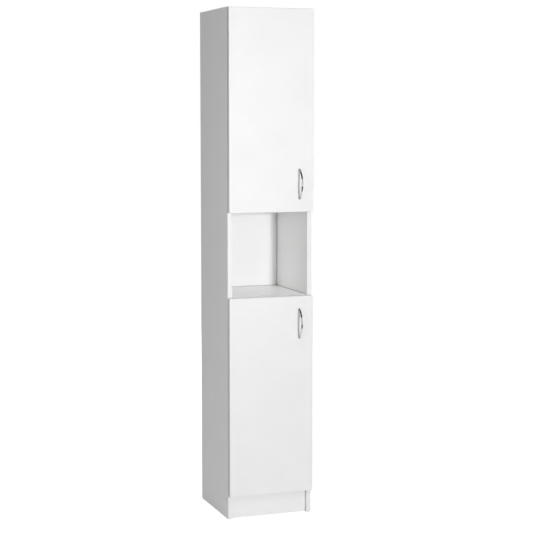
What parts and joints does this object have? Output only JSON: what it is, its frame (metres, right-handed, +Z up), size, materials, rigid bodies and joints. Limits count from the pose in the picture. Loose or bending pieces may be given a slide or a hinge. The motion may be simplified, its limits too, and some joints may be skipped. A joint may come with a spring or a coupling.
{
  "type": "tall bathroom cabinet",
  "caption": "Tall narrow bathroom cabinet of white laminated board with an upper and a lower hinged door, an open niche between them, bow handles and concealed hinges.",
  "frame": {"origin": "on the floor, in the middle of the overall box in plan", "axes": "+Z up, the doors face -Y, +X to the right of someone facing the doors"},
  "size_m": [0.3, 0.348, 1.72],
  "materials": {
    "white_laminate": "white melamine faced board, satin",
    "white_hardboard": "white painted thin fibreboard, matt",
    "beech": "fluted beech, raw",
    "chrome": "bright polished plating",
    "nickel_steel": "nickel plated pressed steel",
    "zinc_steel": "bright zinc plated steel",
    "glide_plastic": "natural white plastic",
    "bumper_rubber": "soft clear polymer"
  },
  "bodies": {
    "carcass": {"side_panel_left": "white_laminate", "side_panel_right": "white_laminate", "top_panel": "white_laminate", "niche_ceiling_shelf": "white_laminate", "niche_floor_shelf": "white_laminate", "bottom_panel": "white_laminate", "plinth_board": "white_laminate", "upper_shelf_low": "white_laminate", "upper_shelf_high": "white_laminate", "lower_shelf": "white_laminate", "back_panel": "white_hardboard", "wooden_dowels": "beech", "shelf_pins": "zinc_steel", "back_screws": "zinc_steel", "floor_glides": "glide_plastic", "wall_bracket": "zinc_steel", "wall_bracket_screws": "zinc_steel", "arm_pivots": "zinc_steel", "plate_screws": "zinc_steel", "arm_screws": "zinc_steel", "hinge_arm_upper_high": "nickel_steel", "mounting_plate_upper_high": "nickel_steel", "hinge_arm_upper_low": "nickel_steel", "mounting_plate_upper_low": "nickel_steel", "hinge_arm_lower_high": "nickel_steel", "mounting_plate_lower_high": "nickel_steel", "hinge_arm_lower_low": "nickel_steel", "mounting_plate_lower_low": "nickel_steel"},
    "upper_outer_links": {"outer_link_upper_high": "nickel_steel", "outer_link_upper_low": "nickel_steel"},
    "upper_inner_links": {"inner_link_upper_high": "nickel_steel", "inner_link_upper_low": "nickel_steel"},
    "upper_door": {"door_upper": "white_laminate", "handle_upper": "chrome", "handle_screws_upper": "zinc_steel", "door_bumpers_upper": "bumper_rubber", "cup_pivots_upper": "zinc_steel", "cup_screws_upper": "zinc_steel", "hinge_cup_upper_high": "nickel_steel", "hinge_cup_upper_low": "nickel_steel"},
    "lower_outer_links": {"outer_link_lower_high": "nickel_steel", "outer_link_lower_low": "nickel_steel"},
    "lower_inner_links": {"inner_link_lower_high": "nickel_steel", "inner_link_lower_low": "nickel_steel"},
    "lower_door": {"door_lower": "white_laminate", "handle_lower": "chrome", "handle_screws_lower": "zinc_steel", "door_bumpers_lower": "bumper_rubber", "cup_pivots_lower": "zinc_steel", "cup_screws_lower": "zinc_steel", "hinge_cup_lower_high": "nickel_steel", "hinge_cup_lower_low": "nickel_steel"}
  },
  "joints": [
    {"name": "upper_outer_link_turn", "type": "hinge", "parent": "carcass", "child": "upper_outer_links", "pos_m": [-0.1206, -0.1064, 1.3805], "axis": [0, 0, 1], "range_deg": [0, 16.5]},
    {"name": "upper_inner_link_turn", "type": "hinge", "parent": "carcass", "child": "upper_inner_links", "pos_m": [-0.113, -0.1241, 1.3805], "axis": [0, 0, 1], "range_deg": [0, 6.8]},
    {"name": "upper_door_swing", "type": "hinge", "parent": "upper_outer_links", "child": "upper_door", "pos_m": [-0.1422, -0.1317, 1.3805], "axis": [0, 0, -1], "range_deg": [0, 111.5]},
    {"name": "lower_outer_link_turn", "type": "hinge", "parent": "carcass", "child": "lower_outer_links", "pos_m": [-0.1206, -0.1064, 0.4195], "axis": [0, 0, 1], "range_deg": [0, 16.5]},
    {"name": "lower_inner_link_turn", "type": "hinge", "parent": "carcass", "child": "lower_inner_links", "pos_m": [-0.113, -0.1241, 0.4195], "axis": [0, 0, 1], "range_deg": [0, 6.8]},
    {"name": "lower_door_swing", "type": "hinge", "parent": "lower_outer_links", "child": "lower_door", "pos_m": [-0.1422, -0.1317, 0.4195], "axis": [0, 0, -1], "range_deg": [0, 111.5]}
  ],
  "couplings": [
    {"joint": "upper_outer_link_turn", "follows": "upper_door_swing", "ratio": 0.14798},
    {"joint": "upper_inner_link_turn", "follows": "upper_door_swing", "ratio": 0.060987},
    {"joint": "lower_outer_link_turn", "follows": "lower_door_swing", "ratio": 0.14798},
    {"joint": "lower_inner_link_turn", "follows": "lower_door_swing", "ratio": 0.060987}
  ]
}
